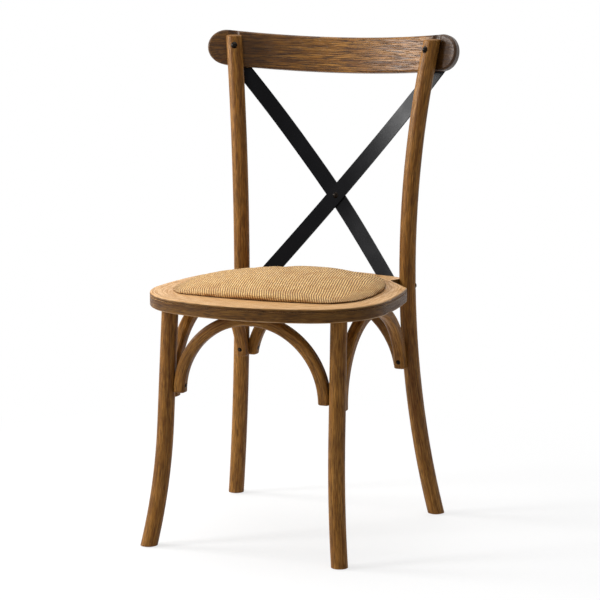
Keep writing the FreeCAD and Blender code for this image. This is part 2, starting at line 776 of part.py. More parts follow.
def make_rail():
    # a board cut from a bent plank: a bowed slice held inside a dipped, round-ended outline
    half = size("rail_height") / 2
    reach = size("rail_half_length") - half
    dip = size("rail_dip")
    arc = (reach * reach + dip * dip) / (2 * dip)
    centre = V(0, arc - dip, 0)
    side = math.atan2(-centre.y, reach)
    sketch = doc.addObject("Sketcher::SketchObject", "rail_outline")
    left = -math.pi - side

    def add(middle, radius, first, last):
        circle = Part.Circle(middle, UP, radius)
        return sketch.addGeometry(Part.ArcOfCircle(circle, first, last))
    bottom = add(centre, arc + half, left, side)
    right_end = add(V(reach, 0, 0), half, side, side + math.pi)
    top = add(centre, arc - half, left, side)
    left_end = add(V(-reach, 0, 0), half, left - math.pi, left)
    joints = [(bottom, 2, right_end, 1), (right_end, 2, top, 2), (top, 1, left_end, 1),
              (left_end, 2, bottom, 1)]
    for a, end_a, b, end_b in joints:
        sketch.addConstraint(Sketcher.Constraint("Coincident", a, end_a, b, end_b))
    number = sketch.addConstraint(Sketcher.Constraint("Radius", right_end, half))
    sketch.renameConstraint(number, "lobe")
    bind(sketch, "Constraints.lobe", cell("rail_height") + " / 2")
    stand = FreeCAD.Rotation(rail_x, rail_z, rail_y * -1, "XYZ")
    sketch.Placement = FreeCAD.Placement(rail_origin - rail_y * 150, stand)
    prism = extrude("rail_prism", sketch, "250", rail_y)
    low = bow_centre - rail_z * 100
    outer = cylinder("rail_rear_face", "%s + %s / 2" % (cell("rail_bow"), cell("rail_thickness")),
                     "200", low, rail_z)
    inner = cylinder("rail_front_face", "%s - %s / 2" % (cell("rail_bow"), cell("rail_thickness")),
                     "200", low, rail_z)
    slice_ = cut("rail_slice", outer, [inner])
    plain = common("rail_plain", prism, slice_)

    def wanted(edge):
        ends = [v.Point for v in (edge.Vertexes[0], edge.Vertexes[-1])]
        away = []
        for point in ends:
            spoke = point - bow_centre
            spoke = spoke - rail_z * spoke.dot(rail_z)
            away.append(spoke.Length)
        return abs(away[0] - away[1]) < 0.1
    soft = rounded("rail_soft_edge", plain, size("rail_edge_round"), wanted)
    tools = [rear_envelope, rear_envelope_left]
    bore = hole("rail_insert_hole", cell("insert_radius"), cell("insert_length") + " + 3",
                crest_insert_end - crest_into * 2.5, crest_into)
    tools += [bore, mirror("rail_insert_hole_left", bore)]
    for n, (seat, into) in enumerate(strap_top_screws()):
        bore = screw_hole("rail_strap_hole_%d" % n, seat, into, cell("strap_screw_length"))
        tools += [bore, mirror("rail_strap_hole_left_%d" % n, bore)]
    return cut("crest_rail_solid", soft, tools)


# Crossed straps, bent to lie on the rail's rear face carried down to the seat

strap_face = bow + rail_half + 0.15
strap_half = size("strap_thickness") / 2
foot_base = bow_point(size("strap_foot_reach"), 0, strap_face)
foot_z = (ring_bottom + size("strap_foot_rise") - foot_base.z) / rail_z.z
cross_z = foot_z + size("strap_cross_rise")
top_z = size("strap_top_rise")


def strap_x(z):
    # sideways position of a strap's centre line, on the right above the crossing
    above = top_z - cross_z
    below = cross_z - foot_z
    at_top = size("strap_top_reach") / above
    at_foot = size("strap_foot_reach") / below
    curve = (at_top - at_foot) / (above + below)
    rise = z - cross_z
    return rise * (at_foot + curve * below + curve * rise)


def strap_bump(z, height):
    # how far the strap behind stands off where the two cross
    away = abs(z - cross_z) / 110.0
    if away >= 1:
        return 0.0
    return height * 0.5 * (1 + math.cos(math.pi * away))


def strap_station(z, standoff):
    # placement with local X across the strap, local Y out of its rear face
    x = strap_x(z)
    step = 0.5
    path = bow_point(strap_x(z + step), z + step, strap_face)
    path = path - bow_point(strap_x(z - step), z - step, strap_face)
    path.normalize()
    out = bow_normal(x, strap_face)
    across = out.cross(path)
    across.normalize()
    place_at = bow_point(x, z, strap_face) + out * standoff
    return FreeCAD.Placement(place_at, FreeCAD.Rotation(across, out, path, "ZYX"))


def strap_section(name, thickness, width):
    sketch = doc.addObject("Sketcher::SketchObject", name)
    half = width / 2
    corners = [V(-half, 0, 0), V(half, 0, 0), V(half, thickness, 0), V(-half, thickness, 0)]
    for a in range(4):
        sketch.addGeometry(Part.LineSegment(corners[a], corners[(a + 1) % 4]))
    for a in range(4):
        sketch.addConstraint(Sketcher.Constraint("Coincident", a, 2, (a + 1) % 4, 1))
    sketch.addConstraint(Sketcher.Constraint("DistanceX", 0, 1, 0, 2, width))
    sketch.addConstraint(Sketcher.Constraint("DistanceY", 1, 1, 1, 2, thickness))
    return sketch, 4, 5


def strap_band(name, bump, stops, thickness="strap_thickness", extra=0.0, inset=0.0):
    sections = []
    for n, z in enumerate(stops):
        thick = size(thickness) if thickness else 14.0
        sketch, width_rule, thick_rule = strap_section("%s_section_%d" % (name, n), thick,
                                                       size("strap_width") + extra)
        sketch.renameConstraint(width_rule, "width")
        bind(sketch, "Constraints.width", cell("strap_width") + " + %g" % extra)
        if thickness:
            sketch.renameConstraint(thick_rule, "thickness")
            bind(sketch, "Constraints.thickness", cell(thickness))
        sketch.Placement = strap_station(z, strap_bump(z, bump) - inset)
        sections.append(sketch)
    band = doc.addObject("Part::Loft", name)
    band.Sections = sections
    band.Solid = True
    return band


def strap_stops():
    count = 14
    return [foot_z + (top_z - foot_z) * n / count for n in range(count + 1)]


def strap_spot(along_from_end, top):
    # a screw's seat on a strap's rear face and its direction, at a distance from one end
    z = top_z if top else foot_z
    here = strap_station(z, 0).Base
    step = -0.25 if top else 0.25
    walked = 0.0
    while walked < along_from_end:
        z += step
        there = strap_station(z, 0).Base
        walked += (there - here).Length
        here = there
    out = bow_normal(strap_x(z), strap_face)
    return here + out * size("strap_thickness"), out * -1


def strap_top_screws():
    first = size("strap_top_screw")
    return [strap_spot(first, True), strap_spot(first + size("strap_screw_pitch"), True)]


def strap_foot_screws():
    return [strap_spot(size("strap_foot_screw"), False)]


cross_out = bow_normal(0, strap_face)
cross_spot = bow_point(0, cross_z, strap_face)
strap_lift = size("strap_thickness") + gap


def make_strap(name, bump):
    # runs from top right to bottom left
    band = strap_band(name + "_band", bump, strap_stops())
    ended = rounded(name + "_ended", band, size("strap_end_round"), lambda e: e.Length < 3.5)
    tools = []
    spots = strap_top_screws() + strap_foot_screws()
    for n, (seat, into) in enumerate(spots):
        tools.append(screw_hole("%s_hole_%d" % (name, n), seat + into * -1, into, "10"))
    tools.append(hole(name + "_rivet_hole", cell("rivet_radius"), "20",
                      cross_spot - cross_out * 5, cross_out))
    return cut(name + "_solid", ended, tools)


def make_strap_seats():
    # the shallow flats in the ring that take the strap feet
    stops = [foot_z - 12, foot_z, foot_z + 12, foot_z + 24, foot_z + 36]
    seat = strap_band("strap_seat", 0.0, stops, "", 1.0, 0.15)
    return [seat, mirror("strap_seat_mirrored", seat)]


# Braces


def make_brace(name, arch, envelopes):
    section = square_profile(name + "_section", "brace_size", "brace_corner")
    section.Placement = shift(arch.radius, 0, 0)
    bend = doc.addObject("Part::Revolution", name + "_bend")
    bend.Source = section
    bend.Axis = V(0, -1, 0)
    bend.Angle = 180
    bend.Solid = True
    limbs = []
    spare = max(0.0, arch.spring - min(arch.heights)) + 20
    for n, way in enumerate([-1, 1]):
        stem = extrude("%s_limb_%d" % (name, n), section, "%.3f" % spare, UP * -1)
        if way < 0:
            stem.Placement = shift(-2 * arch.radius, 0, 0)
        limbs.append(stem)
    whole = fuse(name + "_bar", [bend] + limbs)
    turned = FreeCAD.Rotation(UP, math.degrees(math.atan2(arch.along.y, arch.along.x)))
    frame = FreeCAD.Placement(level_point(arch.middle, arch.spring), turned)
    whole.Placement = frame
    tools = [block(name + "_top_flat", -300, 300, -300, 300, ring_bottom, ring_bottom + 60)]
    ends = []
    for n, way in enumerate([-1, 1]):
        waste = arch.heights[n] - arch.spring + spare + 20
        end = block("%s_end_%d" % (name, n), min(0, way * 250), max(0, way * 250), -60, 60,
                    0, waste)
        end.Placement = FreeCAD.Placement(level_point(arch.middle, arch.heights[n] - waste),
                                          turned).multiply(end.Placement)
        ends.append(end)
        seat, into = arch.end_screw(n)
        tools.append(screw_hole("%s_screw_hole_%d" % (name, n), seat, into, brace_screw_length))
        tools.append(head_flat("%s_screw_flat_%d" % (name, n), seat, into))
    seat, into = arch.top_screw()
    tools.append(screw_hole(name + "_top_hole", seat, into, top_screw_length))
    tools.append(head_flat(name + "_top_spot", seat, into))
    trimmed = cut(name + "_trimmed", whole, ends)
    soft = rounded(name + "_soft_ends", trimmed, size("brace_end_round"),
                   lambda e: level(arch.heights[0])(e) or level(arch.heights[1])(e))
    return cut(name + "_solid", soft, tools + envelopes)


# Build every piece

pieces = {}
rear_leg_right, rear_leg_left = make_rear_leg()
front_leg_right, front_leg_left = make_front_leg()
pieces["rear_leg_right"] = [rear_leg_right]
pieces["rear_leg_left"] = [rear_leg_left]
pieces["front_leg_right"] = [front_leg_right]
pieces["front_leg_left"] = [front_leg_left]
foot_holes = []
for n, (seat, into) in enumerate(strap_foot_screws()):
    bore = screw_hole("ring_strap_hole_%d" % n, seat, into, cell("strap_screw_length"))
    foot_holes += [bore, mirror("ring_strap_hole_left_%d" % n, bore)]
pieces["seat_ring"] = [make_ring(make_strap_seats(), foot_holes)]
pieces["seat_board"] = [make_board()]
soft = size("soft_gap")
wall = size("cover_thickness")
cover_skin = make_cushion("cover_skin", 0.0, ring_top + soft, 0.0)
cover_room = make_cushion("cover_room", wall, ring_top + soft, wall)
foam = make_cushion("foam", wall + soft, ring_top + soft, wall + soft)
pieces["rattan_cover"] = [cut("rattan_cover_solid", cover_skin, [cover_room])]
pieces["seat_foam"] = [foam]
pieces["crest_rail"] = [make_rail()]
front_strap = make_strap("back_strap_front", 0.0)
rear_strap = make_strap("back_strap_rear", strap_lift)
pieces["back_strap_front"] = [front_strap]
pieces["back_strap_rear"] = [mirror("back_strap_rear_mirrored", rear_strap)]
rivet_length = "2 * %s + %s" % (cell("strap_thickness"), cell("fit_gap"))
rivet_end = cross_spot + cross_out * (2 * size("strap_thickness") + gap)
rivet = [dome("rivet_front_head", cell("rivet_head_radius"), cell("rivet_head_rise"),
              cross_spot, cross_out * -1),
         cylinder("rivet_shank", cell("rivet_radius"), rivet_length, cross_spot, cross_out),
         dome("rivet_rear_head", cell("rivet_head_radius"), cell("rivet_head_rise"),
              rivet_end, cross_out)]
pieces["strap_rivet"] = [fuse("strap_rivet_solid", rivet)]
pieces["front_brace"] = [make_brace("front_brace", front_arch,
                                    [front_envelope, front_envelope_left])]
pieces["rear_brace"] = [make_brace("rear_brace", rear_arch, [rear_envelope, rear_envelope_left])]
side_brace = make_brace("side_brace_right", side_arch, [front_envelope, rear_envelope])
pieces["side_brace_right"] = [side_brace]
pieces["side_brace_left"] = [mirror("side_brace_left_solid", side_brace)]


def pair(name, solid):
    return [solid, mirror(name + "_mirrored", solid)]


def tube(name, start, along):
    # a threaded insert: a plain bush round the bolt
    body = cylinder(name + "_body", cell("insert_radius"), cell("insert_length"), start, along)
    bore = hole(name + "_bore", cell("bolt_radius"), cell("insert_length") + " + 2",
                start - along, along)
    return cut(name, body, [bore])


bolt = screw("crest_bolt", crest_seat, crest_into, "bolt_head_radius", "bolt_head_rise",
             "bolt_radius", crest_bolt_length)
pieces["crest_bolts"] = pair("crest_bolt", bolt)
pieces["crest_inserts"] = pair("crest_insert", tube("crest_insert", crest_insert_end, crest_into))
bolt = screw("leg_bolt", leg_bolt_seat, bolt_out * -1, "bolt_head_radius", "bolt_head_rise",
             "bolt_radius", leg_bolt_length)
pieces["leg_bolts"] = pair("leg_bolt", bolt)
pieces["leg_inserts"] = pair("leg_insert", tube("leg_insert", leg_insert_end, bolt_out * -1))


def wood_screw(name, seat, into, length):
    return screw(name, seat, into, "screw_head_radius", "screw_head_rise", "screw_radius", length)


ends = []
for name, arch in [("front", front_arch), ("rear", rear_arch)]:
    seat, into = arch.end_screw(1)
    ends += pair(name + "_end_screw", wood_screw(name + "_end_screw", seat, into,
                                                 brace_screw_length))
for which in range(2):
    seat, into = side_arch.end_screw(which)
    name = "side_end_screw_%d" % which
    ends += pair(name, wood_screw(name, seat, into, brace_screw_length))
pieces["brace_end_screws"] = ends
tops = []
for name, arch in [("front", front_arch), ("rear", rear_arch), ("side", side_arch)]:
    seat, into = arch.top_screw()
    one = wood_screw(name + "_top_screw", seat, into, top_screw_length)
    tops += pair(name + "_top_screw", one) if name == "side" else [one]
pieces["brace_top_screws"] = tops
heads = []
for n, (seat, into) in enumerate(strap_top_screws()):
    heads += pair("strap_top_screw_%d" % n, wood_screw("strap_top_screw_%d" % n, seat, into,
                                                       cell("strap_screw_length")))
pieces["strap_top_screws"] = heads
heads = []
for n, (seat, into) in enumerate(strap_foot_screws()):
    heads += pair("strap_foot_screw_%d" % n, wood_screw("strap_foot_screw_%d" % n, seat, into,
                                                        cell("strap_screw_length")))
pieces["strap_foot_screws"] = heads
pieces["board_screws"] = [wood_screw("board_screw_%d" % n, spot, UP, board_screw_length)
                          for n, spot in enumerate(board_screw_spots())]
glides = []
for name, foot in [("rear_glide", rear_floor), ("front_glide", front_floor)]:
    disc = cylinder(name + "_disc", cell("glide_radius"), cell("glide_height"), level_point(foot, 0))
    pin = cylinder(name + "_pin", cell("glide_pin_radius"),
                   cell("glide_height") + " + " + cell("glide_pin_length"), level_point(foot, 0))
    glides += pair(name, fuse(name, [disc, pin]))
pieces["foot_glides"] = glides

# Set the origin at the middle of the base, check every object and write the parts

doc.recompute()
nodes = {}
for name, solids in pieces.items():
    nodes[name] = group(name, solids)
    nodes[name].Label = name
doc.recompute()
low = min(n.Shape.optimalBoundingBox(True, False).YMin for n in nodes.values())
high = max(n.Shape.optimalBoundingBox(True, False).YMax for n in nodes.values())
for node in nodes.values():
    node.Placement = shift(0, -(low + high) / 2, 0)
doc.recompute()
for thing in doc.Objects:
    if "Invalid" in thing.State or "Error" in thing.State:
        raise RuntimeError("%s did not build: %s" % (thing.Name, thing.State))
for name, node in nodes.items():
    shape = node.Shape
    if shape.isNull() or not shape.isValid() or not shape.Solids:
        raise RuntimeError("%s is not a valid solid" % name)
    shape.exportStep("parts/%s.step" % name)
    box = shape.optimalBoundingBox(True, False)
    print("%-20s solids %d volume %9.0f  x %7.1f %7.1f  y %7.1f %7.1f  z %6.1f %6.1f" % (
        name, len(shape.Solids), shape.Volume, box.XMin, box.XMax, box.YMin, box.YMax,
        box.ZMin, box.ZMax))
print("origin moved by", -(low + high) / 2)
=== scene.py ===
import math

import bmesh
import bpy
from bpy.props import FloatProperty, IntProperty, PointerProperty
from mathutils import Matrix, Vector
from mathutils.bvhtree import BVHTree


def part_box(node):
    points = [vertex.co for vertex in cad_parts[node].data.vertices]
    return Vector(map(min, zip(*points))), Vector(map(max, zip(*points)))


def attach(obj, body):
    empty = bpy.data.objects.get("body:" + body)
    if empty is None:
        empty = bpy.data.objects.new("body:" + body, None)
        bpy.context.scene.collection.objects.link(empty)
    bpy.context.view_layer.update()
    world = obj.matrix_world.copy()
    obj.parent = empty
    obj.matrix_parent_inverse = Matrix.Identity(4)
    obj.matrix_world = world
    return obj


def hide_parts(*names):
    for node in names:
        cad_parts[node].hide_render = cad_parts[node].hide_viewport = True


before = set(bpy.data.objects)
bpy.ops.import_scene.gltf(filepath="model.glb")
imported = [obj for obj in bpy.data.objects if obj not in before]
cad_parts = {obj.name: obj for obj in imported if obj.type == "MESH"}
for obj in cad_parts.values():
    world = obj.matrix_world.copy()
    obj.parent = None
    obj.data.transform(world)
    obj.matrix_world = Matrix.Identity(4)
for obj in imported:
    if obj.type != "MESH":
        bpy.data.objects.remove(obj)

bl_info = {
    "name": "Cross back chair",
    "version": (1, 0, 0),
    "blender": (4, 5, 0),
    "location": "3D View > Sidebar > Chair",
    "description": "Finishes a bentwood cross back chair and gives it its woven pad",
    "category": "Object",
}

MM = 0.001
BODY = "root"

# CAD nodes by what they are made of; the key of each wood is the way its grain runs
WOOD = {
    "rear_leg": ["rear_leg_right", "rear_leg_left"],
    "front_leg": ["front_leg_right", "front_leg_left"],
    "ring": ["seat_ring"],
    "rail": ["crest_rail"],
    "cross_brace": ["front_brace", "rear_brace"],
    "side_brace": ["side_brace_right", "side_brace_left"],
}
STEEL = ["back_strap_front", "back_strap_rear"]
DARK_METAL = ["strap_rivet", "crest_bolts", "leg_bolts", "brace_end_screws",
              "brace_top_screws", "strap_top_screws", "strap_foot_screws"]
BRIGHT_METAL = ["crest_inserts", "leg_inserts", "board_screws"]
PLY = ["seat_board"]
PLASTIC = ["foot_glides"]
SOFT = ["rattan_cover", "seat_foam"]

SEAT = (0, 0, 0.45)
# each lamp's name, place, what it looks at, size and power, in metres and watts
LAMPS = [
    ("top_light", (-0.3, 0.2, 2.6), SEAT, (1.8, 1.8), 40.0),
    ("left_light", (-2.15, -1.65, 1.5), (0, 0, 0.7), (0.6, 0.7), 60.0),
    ("side_light", (-2.5, -0.4, 1.45), SEAT, (0.8, 1.2), 54.0),
    ("right_light", (2.2, -1.8, 1.2), SEAT, (1.2, 1.6), 5.0),
]

pad_low, pad_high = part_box("rattan_cover")


# Colours and node helpers


def srgb(code):
    """Linear RGBA of an sRGB hex colour."""
    parts = [int(code[i:i + 2], 16) / 255 for i in (1, 3, 5)]
    return tuple(c / 12.92 if c <= 0.04045 else ((c + 0.055) / 1.055) ** 2.4
                 for c in parts) + (1.0,)


def add(tree, kind, inputs=None, **settings):
    """A new node with its settings, and its inputs given as values or as links."""
    node = tree.nodes.new(kind)
    for name, value in settings.items():
        setattr(node, name, value)
    for key, value in (inputs or {}).items():
        if isinstance(value, bpy.types.NodeSocket):
            tree.links.new(value, node.inputs[key])
        else:
            node.inputs[key].default_value = value
    return node


def calc(tree, operation, *values, clamp=False):
    """The output of a Math node."""
    node = add(tree, "ShaderNodeMath", dict(enumerate(values)), operation=operation)
    node.use_clamp = clamp
    return node.outputs[0]


def ramp(tree, value, low, high, start=0.0, end=1.0):
    """A value mapped smoothly from one range to another and clamped."""
    node = add(tree, "ShaderNodeMapRange",
               {"Value": value, "From Min": low, "From Max": high, "To Min": start, "To Max": end},
               interpolation_type="SMOOTHSTEP")
    return node.outputs[0]


def blend(tree, factor, first, second, how="MIX"):
    """The colour between two colours, or the second laid over the first in another way."""
    node = add(tree, "ShaderNodeMix", {0: factor, 6: first, 7: second},
               data_type="RGBA", blend_type=how)
    return node.outputs[2]


def noise(tree, vector, turn=None, detail=2.0, rough=0.5):
    """A noise value at a position that is already scaled, in four dimensions with a turn."""
    inputs = {"Vector": vector, "Scale": 1.0, "Detail": detail, "Roughness": rough}
    if turn is None:
        return add(tree, "ShaderNodeTexNoise", inputs).outputs[0]
    inputs["W"] = turn
    return add(tree, "ShaderNodeTexNoise", inputs, noise_dimensions="4D").outputs[0]


def place(tree):
    """The object's own x, y and z in millimetres."""
    coords = add(tree, "ShaderNodeTexCoord").outputs["Object"]
    scaled = add(tree, "ShaderNodeVectorMath", {0: coords, 3: 1000.0}, operation="SCALE")
    split = add(tree, "ShaderNodeSeparateXYZ", {0: scaled.outputs[0]})
    return split.outputs[0], split.outputs[1], split.outputs[2]


def joined(tree, x, y, z):
    """A vector from three values."""
    return add(tree, "ShaderNodeCombineXYZ", {0: x, 1: y, 2: z}).outputs[0]


def patches(tree, spot, sizes, detail):
    """Noise in patches of the given sizes in millimetres, even along an axis that has none."""
    scaled = [calc(tree, "DIVIDE", value, size) if size else 0.0
              for value, size in zip(spot, sizes)]
    return noise(tree, joined(tree, *scaled), None, detail)


def cosine_wave(tree, turns):
    """A wave from 0 to 1 that peaks at each whole number of turns."""
    wave = calc(tree, "COSINE", calc(tree, "MULTIPLY", turns, math.tau))
    return calc(tree, "MULTIPLY_ADD", wave, 0.5, 0.5)


def seen_directly(tree):
    """1 for what the camera sees straight, in a mirror or through glass, and 0 for light."""
    path = add(tree, "ShaderNodeLightPath")
    seen = calc(tree, "MAXIMUM", path.outputs["Is Camera Ray"], path.outputs["Is Glossy Ray"])
    return calc(tree, "MAXIMUM", seen, path.outputs["Is Transmission Ray"])


def material(name):
    """A new material, its node tree and its Principled shader."""
    made = bpy.data.materials.new(name)
    made.use_nodes = True
    return made, made.node_tree, made.node_tree.nodes["Principled BSDF"]


def bump(tree, shader, height, strength, depth):
    """Relief from a height value, its full depth given in millimetres."""
    node = add(tree, "ShaderNodeBump",
               {"Height": height, "Strength": strength, "Distance": depth * MM})
    tree.links.new(node.outputs[0], shader.inputs["Normal"])


# Wood: stained and brushed beech with an open grain that follows each bent piece


def rear_leg_grain(tree, x, y, z):
    """Grain that bends with the rear legs, which curve outwards and back from the seat."""
    waist, bend = 463.0, 1717.0
    outwards, back = 0.62, 0.785
    rise = calc(tree, "SUBTRACT", z, waist)
    sway = calc(tree, "DIVIDE", calc(tree, "MULTIPLY", rise, rise), 2 * bend)
    across = calc(tree, "MULTIPLY_ADD", sway, -outwards, calc(tree, "ABSOLUTE", x))
    return across, calc(tree, "MULTIPLY_ADD", sway, -back, y), z, x


def front_leg_grain(tree, x, y, z):
    """Grain that bends with the front legs, which curve outwards below mid height."""
    straight_from, bend = 204.6, 1080.0
    outwards, forwards, rake = 0.706, 0.708, 0.084
    drop = calc(tree, "MAXIMUM", calc(tree, "SUBTRACT", straight_from, z), 0.0)
    sway = calc(tree, "DIVIDE", calc(tree, "MULTIPLY", drop, drop), 2 * bend)
    across = calc(tree, "MULTIPLY_ADD", sway, -outwards, calc(tree, "ABSOLUTE", x))
    deep = calc(tree, "MULTIPLY_ADD", sway, forwards, y)
    return across, calc(tree, "MULTIPLY_ADD", z, -rake, deep), z, x


def ring_grain(tree, x, y, z):
    """Grain that runs round the bent seat ring, on outlines between an oval and a square."""
    widest_y, half_width, to_front, to_rear, power = -99.8, 218.5, 148.4, 284.0, 2.4
    behind = calc(tree, "SUBTRACT", y, widest_y)
    ahead = calc(tree, "MULTIPLY", behind, -1.0)
    front = calc(tree, "DIVIDE", calc(tree, "MAXIMUM", ahead, 0.0), to_front)
    rear = calc(tree, "DIVIDE", calc(tree, "MAXIMUM", behind, 0.0), to_rear)
    deep = calc(tree, "POWER", calc(tree, "ADD", front, rear), power)
    wide = calc(tree, "DIVIDE", calc(tree, "ABSOLUTE", x), half_width)
    wide = calc(tree, "POWER", wide, power)
    reach = calc(tree, "POWER", calc(tree, "ADD", deep, wide), 1 / power)
    return calc(tree, "MULTIPLY", reach, half_width), z, x, y


def rail_grain(tree, x, y, z):
    """Grain that runs along the bowed crest rail."""
    bow = 540.0
    sway = calc(tree, "DIVIDE", calc(tree, "MULTIPLY", x, x), 2 * bow)
    return calc(tree, "ADD", y, sway), z, x, None


def arch_grain(tree, along, across, z, middle, spring):
    """Grain that follows a brace up one limb, over the arch and down the other."""
    side = calc(tree, "SUBTRACT", along, middle)
    rise = calc(tree, "MAXIMUM", calc(tree, "SUBTRACT", z, spring), 0.0)
    square = calc(tree, "ADD", calc(tree, "MULTIPLY", side, side),
                  calc(tree, "MULTIPLY", rise, rise))
    return calc(tree, "SQRT", square), across, along, z


def cross_brace_grain(tree, x, y, z):
    """Grain of the front and rear braces, which run from side to side."""
    return arch_grain(tree, x, y, z, middle=0.0, spring=268.0)


def side_brace_grain(tree, x, y, z):
    """Grain of the side braces, which run from front to back and close in a little."""
    across = calc(tree, "MULTIPLY_ADD", y, -0.034, calc(tree, "ABSOLUTE", x))
    return arch_grain(tree, y, across, z, middle=-18.3, spring=267.9)


GRAIN = {
    "rear_leg": rear_leg_grain,
    "front_leg": front_leg_grain,
    "ring": ring_grain,
    "rail": rail_grain,
    "cross_brace": cross_brace_grain,
    "side_brace": side_brace_grain,
}


def streaks(tree, grain, width, length, detail=2.0, rough=0.5):
    """Noise drawn out along the grain, with the width and length of a streak in millimetres."""
    first, second, along, turn = grain
    vector = joined(tree, calc(tree, "DIVIDE", first, width), calc(tree, "DIVIDE", second, width),
                    calc(tree, "DIVIDE", along, length))
    if turn is not None:
        turn = calc(tree, "DIVIDE", turn, length)
    return noise(tree, vector, turn, detail, rough)


# how light each part stayed under the stain; the low tones of the seat ring and the front legs are
# partly painted shade, for the ring's shaded side and the legs under the seat
TONES = {"front_leg": 0.85, "rear_leg": 0.88, "ring": 0.42, "rail": 0.9, "cross_brace": 0.75,
         "side_brace": 0.9}


def wood_material(way, settings):
    """Beech with an antique brown stain, brushed so that its pores stay dark, satin lacquer."""
    made, tree, shader = material("wood_" + way)
    x, y, z = place(tree)
    grain = GRAIN[way](tree, x, y, z)
    tone = TONES[way]
    # the flat-sawn rail shows the longest, coarsest and darkest streaks and shines the most
    rail = way == "rail"
    long, coarse = (1.6, 1.0) if rail else (1.0, 0.7)
    dark = 0.85 if rail else 0.55
    figure = streaks(tree, grain, settings.figure_width, 260.0, 3.0)
    fibre = streaks(tree, grain, settings.fibre_width, 40.0 * long, 3.0, 0.65)
    fine = streaks(tree, grain, settings.fibre_width * coarse, 22.0 * long, 3.0)
    pores = ramp(tree, streaks(tree, grain, 0.8, 16.0 * long, 2.0), 0.54, 0.66)
    stain = patches(tree, (x, y, z), (55.0, 55.0, 80.0), 3.0)
    colour = blend(tree, ramp(tree, figure, 0.34, 0.66), srgb("#704518"), srgb("#946429"))
    colour = blend(tree, ramp(tree, fibre, 0.42, 0.70, 0.0, 0.6), colour, srgb("#b28344"))
    colour = blend(tree, ramp(tree, fine, 0.38, 0.56, dark, 0.0), colour, srgb("#3a2008"))
    colour = blend(tree, ramp(tree, stain, 0.45, 0.75, 0.0, 0.35), colour, srgb("#4c2c0e"))
    colour = blend(tree, calc(tree, "MULTIPLY", pores, dark), colour, srgb("#180b02"))
    if rail:
        # painted shade: the rail darkens towards the sitter's right, where less light falls, and
        # at its end at the sitter's left, beside the post that shades it
        far = calc(tree, "ADD", ramp(tree, x, 0.0, -180.0, 0.0, 0.6),
                   ramp(tree, x, 170.0, 200.0, 0.0, 0.85))
        colour = blend(tree, far, colour, srgb("#2a1808"))
    # the part's tone, partly painted shade on the ring and the front legs
    colour = blend(tree, 1.0, colour, (tone, tone, tone, 1.0), "MULTIPLY")
    if way == "ring":
        # painted light: the top of the ring is painted a lighter tan where light falls from above,
        # and its rounded edges a little lighter, partly painted highlight and partly wear
        normal = add(tree, "ShaderNodeNewGeometry").outputs["Normal"]
        up = add(tree, "ShaderNodeSeparateXYZ", {0: normal}).outputs[2]
        painted_top_light_and_edge_wear = calc(tree, "MAXIMUM", ramp(tree, up, 0.25, 0.9, 0.0, 0.95),
                      ramp(tree, calc(tree, "ABSOLUTE", up), 0.15, 0.5, 0.0, 0.35))
        lit_and_worn_tan = blend(tree, ramp(tree, fibre, 0.36, 0.62), srgb("#ad7d48"), srgb("#d9b180"))
        lit_and_worn_tan = blend(tree, calc(tree, "MULTIPLY", pores, 0.45), lit_and_worn_tan, srgb("#6b431d"))
        colour = blend(tree, painted_top_light_and_edge_wear, colour, lit_and_worn_tan)
    tree.links.new(colour, shader.inputs["Base Color"])
    sheen = settings.roughness - (0.08 if rail else 0.0)
    rough = ramp(tree, fibre, 0.3, 0.7, sheen + 0.08, sheen - 0.06)
    rough = calc(tree, "MULTIPLY_ADD", pores, 0.2, rough)
    tree.links.new(rough, shader.inputs["Roughness"])
    shader.inputs["IOR"].default_value = 1.5
    shader.inputs["Specular IOR Level"].default_value = 0.2 if rail else 0.12
    height = calc(tree, "MULTIPLY_ADD", pores, -0.8, calc(tree, "MULTIPLY", fine, 0.6))
    bump(tree, shader, height, 0.7, settings.relief / MM)
    return made


# Woven rattan: rows of fine strands, each row stepping a little sideways from the last


